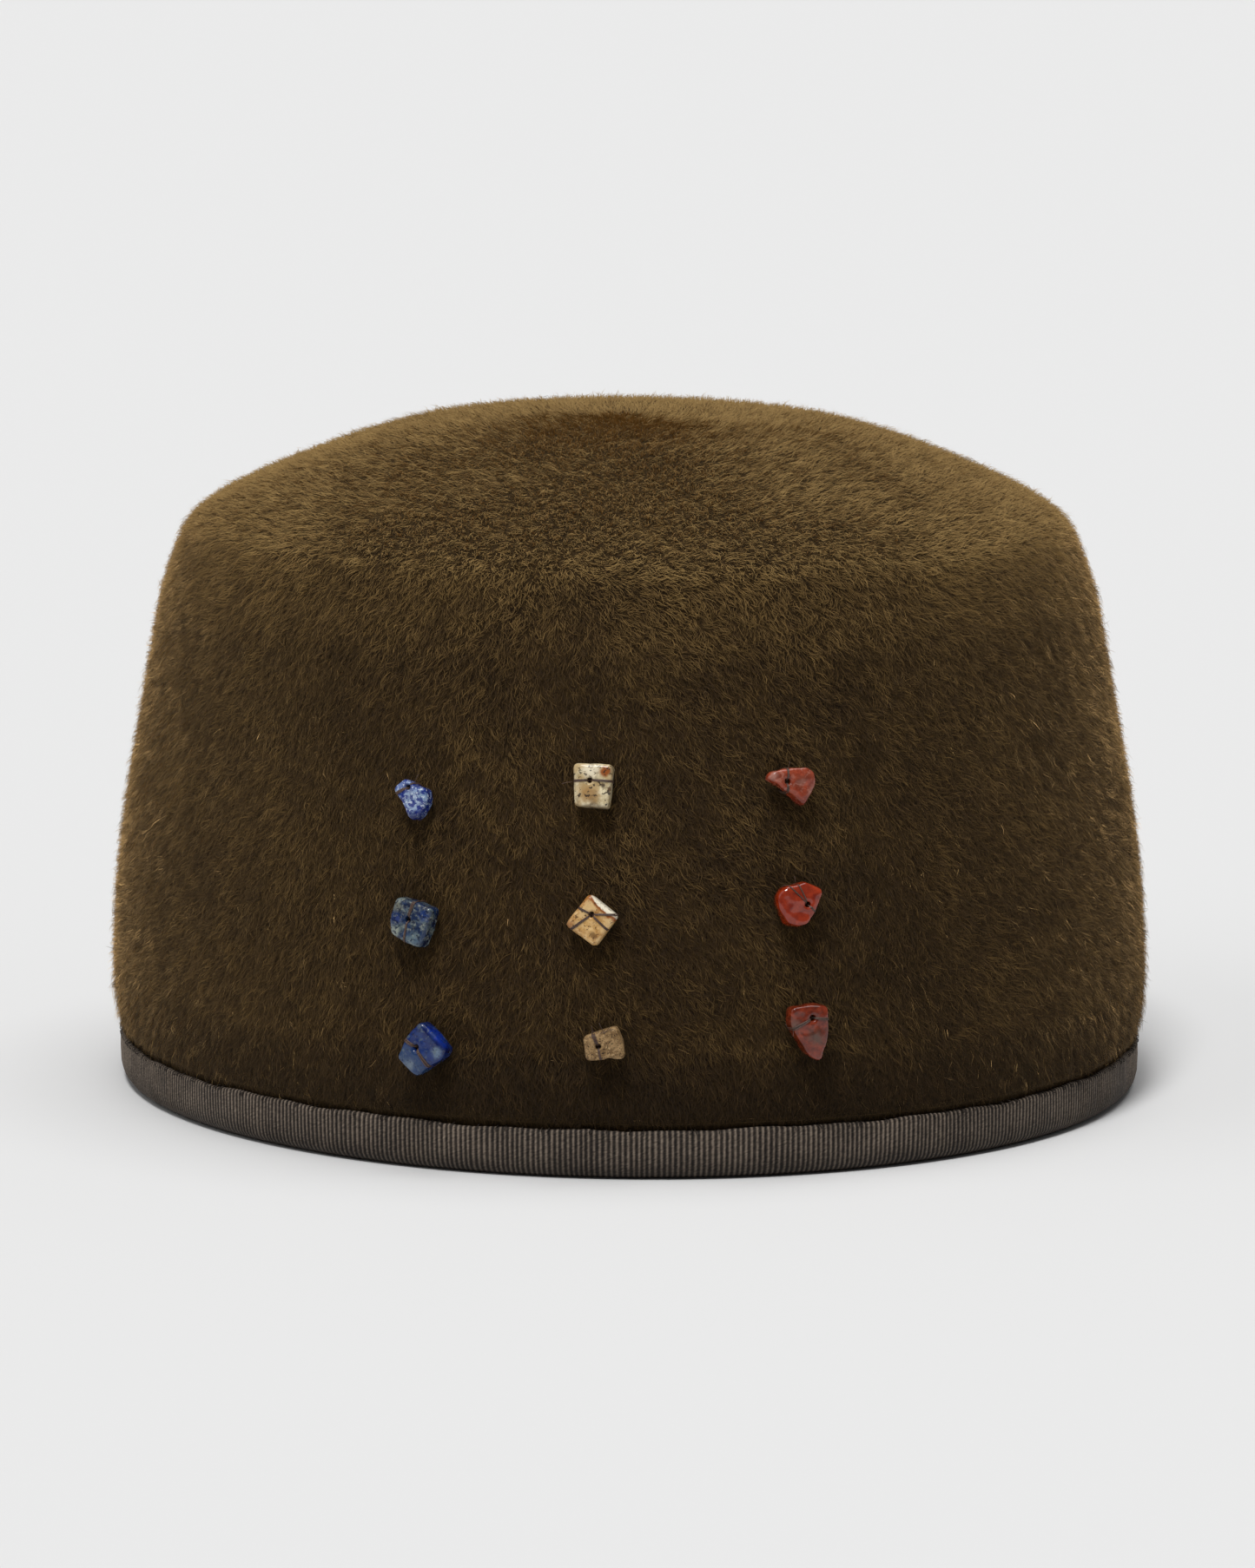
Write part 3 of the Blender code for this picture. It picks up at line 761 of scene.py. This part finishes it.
thread_draw = np.random.default_rng(53)
threads = new_threads("sewing_threads", THREAD_RADIUS)
for name, stitches in STITCHES:
    seat = stone_seats[name]
    for *end, strands in stitches:
        for strand in range(strands):
            spread = (strand - (strands - 1) / 2) * STRAND_SPACING
            spread += STRAND_WANDER * thread_draw.normal()
            profile = [(0.0, -HOLE_DEPTH)]
            distance = HOLE_EDGE
            while True:
                flat = strand_place(end, spread, distance)
                stone_height, felt_height = surface(name, flat.x, flat.y)
                if stone_height is None or distance > LONGEST_STITCH:
                    break
                profile.append((distance, stone_height + THREAD_RADIUS * 0.8))
                distance += THREAD_STEP
            edge, edge_height = profile[-1]
            run_down = [(edge + 0.0001, (edge_height + felt_height) / 2), (edge - 0.0003, felt_height)]
            line = []
            for distance, height in taut(profile) + run_down:
                flat = strand_place(end, spread, distance)
                line.append(seat @ Vector((flat.x, flat.y, height)))
            add_strand(threads, line)
for name, start, stop in THREAD_ENDS:
    seat = stone_seats[name]
    bend = Vector((0.3 * thread_draw.normal(), 0.3 * thread_draw.normal()))
    line = []
    for share in np.linspace(0, 1, 9):
        flat = Vector(start).lerp(Vector(stop), share) + bend * share * (1 - share)
        stone_height, felt_height = surface(name, flat.x / 1000, flat.y / 1000)
        ground = felt_height if stone_height is None else stone_height
        line.append(seat @ Vector((flat.x / 1000, flat.y / 1000, max(ground, -0.0008) * (1 - share)
                                   + 0.0004 * share)))
    add_strand(threads, line, END_RADIUS / THREAD_RADIUS)
waxed, tree, shader = new_finish("waxed_thread", 0.5, 0.4)
place = add_node(tree, "TexCoord", {}).outputs["Object"]
twist = add_node(tree, "TexNoise", {"Vector": place, "Scale": 5200, "Detail": 2, "Distortion": 1})
tone = add_ramp(tree, twist.outputs["Fac"], (0.35, THREAD_DARK), (0.65, THREAD_TONE))
lay_on(tree, shader, tone, twist.outputs["Fac"], 0.5, TWIST_DEPTH)
threads.materials.append(waxed)
sewing = bpy.data.objects.new("sewing_threads", threads)
scene.collection.objects.link(sewing)
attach(sewing, "root")


# Edge stitches. Small hand stitches in ribbon-coloured thread, every few ribs round the ribbon's
# upper edge, catch it down to the felt.
EDGE_STITCHES = 236
EDGE_RADIUS = 0.00008
EDGE_UNEVEN = 0.3
EDGE_LEAN = 0.0006
# inset from the ribbon's outside and rise above its top edge along one stitch, in mm
EDGE_STITCH = [(0.30, -0.50), (-0.08, -0.40), (-0.10, -0.15), (0.25, 0.05), (1.00, 0.10)]

edge_draw = np.random.default_rng(67)
edge_curve = new_threads("edge_stitches", EDGE_RADIUS)
for number in range(EDGE_STITCHES):
    around = (number + EDGE_UNEVEN * edge_draw.normal()) / EDGE_STITCHES % 1
    lean = EDGE_LEAN * edge_draw.normal()
    line = []
    for inset, rise in EDGE_STITCH:
        turn = np.interp((around + lean * rise) % 1, rim_length, rim_steps)
        line.append(((RIM_HALF_WIDTH - inset / 1000) * sin(turn),
                     -(RIM_HALF_LENGTH - inset / 1000) * cos(turn), RIBBON_LEG + rise / 1000))
    add_strand(edge_curve, line)
edge_thread, tree, shader = new_finish("edge_thread", 0.6, 0.3)
place = add_node(tree, "TexCoord", {}).outputs["Object"]
twist = add_node(tree, "TexNoise", {"Vector": place, "Scale": 4200, "Detail": 2})
tone = add_ramp(tree, twist.outputs["Fac"], (0.35, RIB_VALLEY), (0.7, RIB_DARK))
lay_on(tree, shader, tone)
edge_curve.materials.append(edge_thread)
edge_sewing = bpy.data.objects.new("edge_stitches", edge_curve)
scene.collection.objects.link(edge_sewing)
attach(edge_sewing, "root")


# Nap. The raised fur of the velour felt: a dense short under-pile and longer, finer, crimped hairs,
# swept down and away from the front, lighter at the tips. It is parted under the stones.
UNDER_PILE = 340000
TOP_HAIRS = 128000
HAIR_SEED = 7
NAP_PIECES = 6
# the nap starts at this level of the felt, just above the ribbon, and is denser at the front
FIRST_LEVEL = 1.15
FRONT_DENSER = 0.25
TUFTS = 30000
TUFT_SEED = 41
TUFT_PULL = 0.35
# how far the hairs sweep sideways, in degrees: at the cap's sides, at its front, in wide and in
# small swirls, and from tuft to tuft
SIDE_SWEEP = 38
FRONT_SWEEP = 20
WIDE_SWIRL = 16
SMALL_SWIRL = 12
TUFT_SWING = 15
TUFT_LIFT = 9
# shares: of the tuft's tone in each hair's, and of the contrast left at the sides
TUFT_TONE = 0.4
SIDE_CONTRAST = 0.6
MIDDLE_TONE = 0.42
# how light the nap is on walls, how much lighter on the top, a painted light, and on its lower half
WALL_LIGHT = 0.22
TOP_PAINTED_LIGHT = 0.85
LOW_LIGHT = 0.06
# heights where the walls' lower half and the ribbon's shade on them begin
LOWER_HALF = 0.050
RIBBON_SHADE = 0.019
RIPPLE_WAVES = 7
# how far from a stone's hole hairs are tested against it
STONE_REACH = 0.0105
# places where the nap is painted darker: middle in metres, reach in metres and how much darker
# the two on the top are a painted shade on the front slope of its dents
DARKER_PLACES = [((-0.059, -0.069, 0.070), 0.016, 0.12), ((0.008, -0.050, 0.110), 0.024, 0.06),
           ((0.034, -0.045, 0.110), 0.012, 0.10), ((0.020, -0.095, 0.045), 0.024, 0.06)]


def ripple(points, size, seed):
    """Smooth noise between about -1 and 1 at each point, with waves of about the given size."""
    waves = np.random.default_rng(seed)
    total = np.zeros(len(points))
    for _ in range(RIPPLE_WAVES):
        direction = waves.normal(size=3)
        direction *= tau / (size * waves.uniform(0.7, 1.6)) / np.linalg.norm(direction)
        total += np.sin(points @ direction + waves.uniform(0, tau))
    return total / 2.6


def scatter(count, seed):
    """Roots spread evenly over the felt above the ribbon: turn and climb of each."""
    draw = np.random.default_rng(seed)
    turns, climbs = 480, 320
    turn_step = tau / turns
    climb_step = (TOP_LEVEL - FIRST_LEVEL) / climbs
    turn, climb = np.meshgrid((np.arange(turns) + 0.5) * turn_step,
                              FIRST_LEVEL + (np.arange(climbs) + 0.5) * climb_step, indexing="ij")
    turn, climb = turn.ravel(), climb.ravel()
    around = felt_surface(turn + turn_step / 2, climb) - felt_surface(turn - turn_step / 2, climb)
    along = felt_surface(turn, climb + climb_step / 2) - felt_surface(turn, climb - climb_step / 2)
    area = np.linalg.norm(np.cross(around, along), axis=1)
    share = area * (1 + FRONT_DENSER * np.cos(turn))
    wanted = share / share.sum() * count
    number = np.floor(wanted + draw.uniform(size=len(wanted))).astype(int)
    turn = np.repeat(turn, number) + draw.uniform(-0.5, 0.5, number.sum()) * turn_step
    climb = np.repeat(climb, number) + draw.uniform(-0.5, 0.5, number.sum()) * climb_step
    return turn, climb


def parted(roots, tips):
    """Which hairs stay clear of the stones."""
    clear = np.ones(len(roots), bool)
    for name, seat in stone_seats.items():
        middle = np.array(seat.to_translation())
        outward = seat.to_3x3() @ Vector((0, 0, 1))
        for index in np.flatnonzero(np.linalg.norm(roots - middle, axis=1) < STONE_REACH):
            root, tip = Vector(roots[index]), Vector(tips[index])
            over = stone_trees[name].ray_cast(root - outward * 0.001, outward, 0.006)[0]
            through = stone_trees[name].ray_cast(root, tip - root, (tip - root).length)[0]
            clear[index] &= over is None and through is None
    return clear


tuft_places = felt_surface(*scatter(TUFTS, TUFT_SEED))
tuft_tree = KDTree(len(tuft_places))
for number, place in enumerate(tuft_places):
    tuft_tree.insert(place, number)
tuft_tree.balance()
tuft_draw = np.random.default_rng(TUFT_SEED + 1)
tuft_swing = tuft_draw.normal(size=len(tuft_places))
tuft_lift = tuft_draw.normal(size=len(tuft_places))
tuft_tone = tuft_draw.uniform(size=len(tuft_places))
tuft_tilt = tuft_draw.normal(size=(len(tuft_places), 3))


def grow(count, seed, length, width, lift, droop, wild, crimp, shades):
    """Hairs as thin blades of a root pair, a middle pair and a tip, gathered in small tufts.

    Lengths are in metres; lift and droop are the angles from the felt of a hair's lower and upper
    half, wild and crimp how unevenly it and its bend turn aside, all in degrees. It gives the turn,
    points, own tone, patch tone and facing of each hair.
    """
    turn, climb = scatter(count, seed)
    root, across, down, out = felt_frame(turn, climb)
    draw = np.random.default_rng(seed + 1)
    count = len(root)
    tuft = np.array([tuft_tree.find(place)[1] for place in root])
    pull = (tuft_places[tuft] - root) * TUFT_PULL
    height = root[:, 2]
    low_band = np.clip((PRESSED_LINE - height) / 0.0015, 0, 1)
    sweep = radians(SIDE_SWEEP) * np.sin(turn) + radians(FRONT_SWEEP) * np.maximum(np.cos(turn), 0)
    sweep = (sweep + radians(WIDE_SWIRL) * ripple(root, size=0.030, seed=11)) * (1 - 0.6 * low_band)
    sweep += radians(SMALL_SWIRL) * ripple(root, size=0.0045, seed=12)
    sweep += radians(TUFT_SWING) * tuft_swing[tuft]
    sweep += radians(wild) * draw.normal(size=count)
    bend = sweep + radians(crimp) * draw.normal(size=count)
    rise = radians(lift) + radians(TUFT_LIFT) * tuft_lift[tuft] + radians(9) * draw.normal(size=count)
    fall = radians(droop) + radians(14) * draw.normal(size=count)
    size = length * draw.uniform(0.6, 1.2, count) * np.clip((height - RIBBON_LEG) / 0.003, 0.8, 1)

    def slant(sideways, upward):
        lay = down * np.cos(sideways)[:, None] + across * np.sin(sideways)[:, None]
        return lay * np.cos(upward)[:, None] + out * np.sin(upward)[:, None]

    start = root - out * (PILE_DEPTH * 1.05)
    middle = start + slant(sweep, rise) * (size * 0.5)[:, None] + pull * 0.4
    tip = middle + slant(bend, fall) * (size * 0.5)[:, None] + pull * 0.6
    roll = radians(30) * draw.normal(size=count)
    side = np.cross(slant(sweep, rise), out)
    side /= np.linalg.norm(side, axis=1, keepdims=True)
    side = side * np.cos(roll)[:, None] + out * np.sin(roll)[:, None]
    half = side * (width / 2 * draw.uniform(0.7, 1.3, count))[:, None]
    own = shades[0] + (shades[1] - shades[0]) * draw.uniform(size=count) ** 2.0
    own = (1 - TUFT_TONE) * own + TUFT_TONE * tuft_tone[tuft]
    crest = np.clip((out[:, 2] - 0.12) / 0.70, 0, 1)
    frontal = np.maximum(np.cos(turn), 0) * (1 - crest)
    own = MIDDLE_TONE + (own - MIDDLE_TONE) * (SIDE_CONTRAST + (1 - SIDE_CONTRAST) * frontal)
    lower_half = np.clip((LOWER_HALF - height) / 0.020, 0, 1)
    # painted light: nap that faces upwards is painted lighter, as if lit from above
    patch = WALL_LIGHT + TOP_PAINTED_LIGHT * crest ** 0.9 + LOW_LIGHT * lower_half
    patch += 0.05 * ripple(root, size=0.026, seed=15) + 0.05 * ripple(root, size=0.008, seed=16)
    # the listed places are painted darker, those on the top as a painted shade
    for middle_place, reach, darker in DARKER_PLACES:
        far = np.linalg.norm(root - middle_place, axis=1)
        patch -= darker * np.exp(-(far / reach) ** 2)
    # painted shade: the nap is painted darker below the pressed line and close above the ribbon
    near_ribbon = np.clip((RIBBON_SHADE - height) / 0.009, 0, 1)
    patch = np.clip(patch, 0, 1) * (1 - 0.45 * low_band) * (1 - 0.85 * near_ribbon)
    own = own * (1 - 0.10 * low_band) * (1 - 0.30 * near_ribbon)
    points = np.stack([start - half, start + half, middle + half * 0.8, middle - half * 0.8, tip], 1)
    level_out = out * (1, 1, 0) + (0, 0, 1) * np.maximum(out[:, 2:], 0.02)
    blade = np.cross(half, middle - start) / (width * size / 4)[:, None]
    facing = level_out + blade * (0.35 + 0.5 * frontal)[:, None]
    tilt = 0.24 * draw.normal(size=(count, 3)) + 0.22 * tuft_tilt[tuft]
    facing += tilt * (0.5 + 0.5 * frontal)[:, None]
    facing /= np.linalg.norm(facing, axis=1, keepdims=True)
    kept = parted(start, tip)
    return turn[kept], points[kept], own[kept], patch[kept], facing[kept]


nap_finish, tree, shader = new_finish("nap", 0.8, 0.2)
hair_data = add_node(tree, "Attribute", {}, attribute_name="hair")
parts = add_node(tree, "SeparateColor", {"Color": hair_data.outputs["Color"]}).outputs
light = maths(tree, "MULTIPLY", parts["Blue"], 0.55)
light = maths(tree, "MULTIPLY_ADD", parts["Red"], 0.25, light)
light = maths(tree, "MULTIPLY_ADD", parts["Green"], 0.42, light)
tone = add_ramp(tree, light, (0.05, dye(19, 13, 6)), (0.42, dye(60, 45, 25)),
                (0.75, dye(118, 93, 54)), (1.0, dye(156, 128, 80)))
lay_on(tree, shader, tone)
add_sheen(shader, 0.9)

pile = grow(UNDER_PILE, HAIR_SEED, length=0.0016, width=0.00014, lift=40, droop=18, wild=24,
            crimp=14, shades=(0.05, 0.8))
hairs = grow(TOP_HAIRS, HAIR_SEED + 2, length=0.0026, width=0.000078, lift=38, droop=8, wild=16,
             crimp=16, shades=(0.10, 1.15))
for number in range(NAP_PIECES):
    corners = []
    tones = []
    normals = []
    loops = []
    starts = []
    corner_count = 0
    loop_count = 0
    for (turn, points, own, patch, facing), bent in ((pile, False), (hairs, True)):
        sector = ((turn + pi / NAP_PIECES) % tau / tau * NAP_PIECES).astype(int)
        chosen = np.flatnonzero(sector == number)
        # a bent hair is a quad with a triangle on it, a short one a triangle; rises run root to tip
        picked = [0, 1, 2, 3, 4] if bent else [0, 1, 4]
        rises = np.array([0.0, 0.0, 0.55, 0.55, 1.0])[picked]
        size = len(chosen)
        each = len(picked)
        base = corner_count + each * np.arange(size)
        order = [0, 1, 2, 3, 3, 2, 4] if bent else [0, 1, 2]
        faces = [0, 4] if bent else [0]
        corners.append(points[chosen][:, picked].reshape(-1, 3))
        tones.append(np.stack([np.tile(rises, size), np.repeat(own[chosen], each),
                               np.repeat(patch[chosen], each), np.ones(each * size)], 1))
        normals.append(np.repeat(facing[chosen], each, axis=0))
        loops.append((base[:, None] + order).ravel())
        starts.append((loop_count + len(order) * np.arange(size)[:, None] + faces).ravel())
        corner_count += each * size
        loop_count += len(order) * size
    mesh = bpy.data.meshes.new(f"nap_{number}")
    mesh.vertices.add(corner_count)
    mesh.vertices.foreach_set("co", np.concatenate(corners).ravel().astype(np.float32))
    mesh.loops.add(loop_count)
    mesh.loops.foreach_set("vertex_index", np.concatenate(loops).astype(np.int32))
    starts = np.concatenate(starts)
    mesh.polygons.add(len(starts))
    mesh.polygons.foreach_set("loop_start", starts.astype(np.int32))
    mesh.update(calc_edges=True)
    mesh.shade_smooth()
    mesh.normals_split_custom_set_from_vertices(np.concatenate(normals).astype(np.float32))
    layer = mesh.color_attributes.new("hair", "FLOAT_COLOR", "POINT")
    layer.data.foreach_set("color", np.concatenate(tones).ravel().astype(np.float32))
    mesh.materials.append(nap_finish)
    nap = bpy.data.objects.new(f"nap_{number}", mesh)
    scene.collection.objects.link(nap)
    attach(nap, "root")
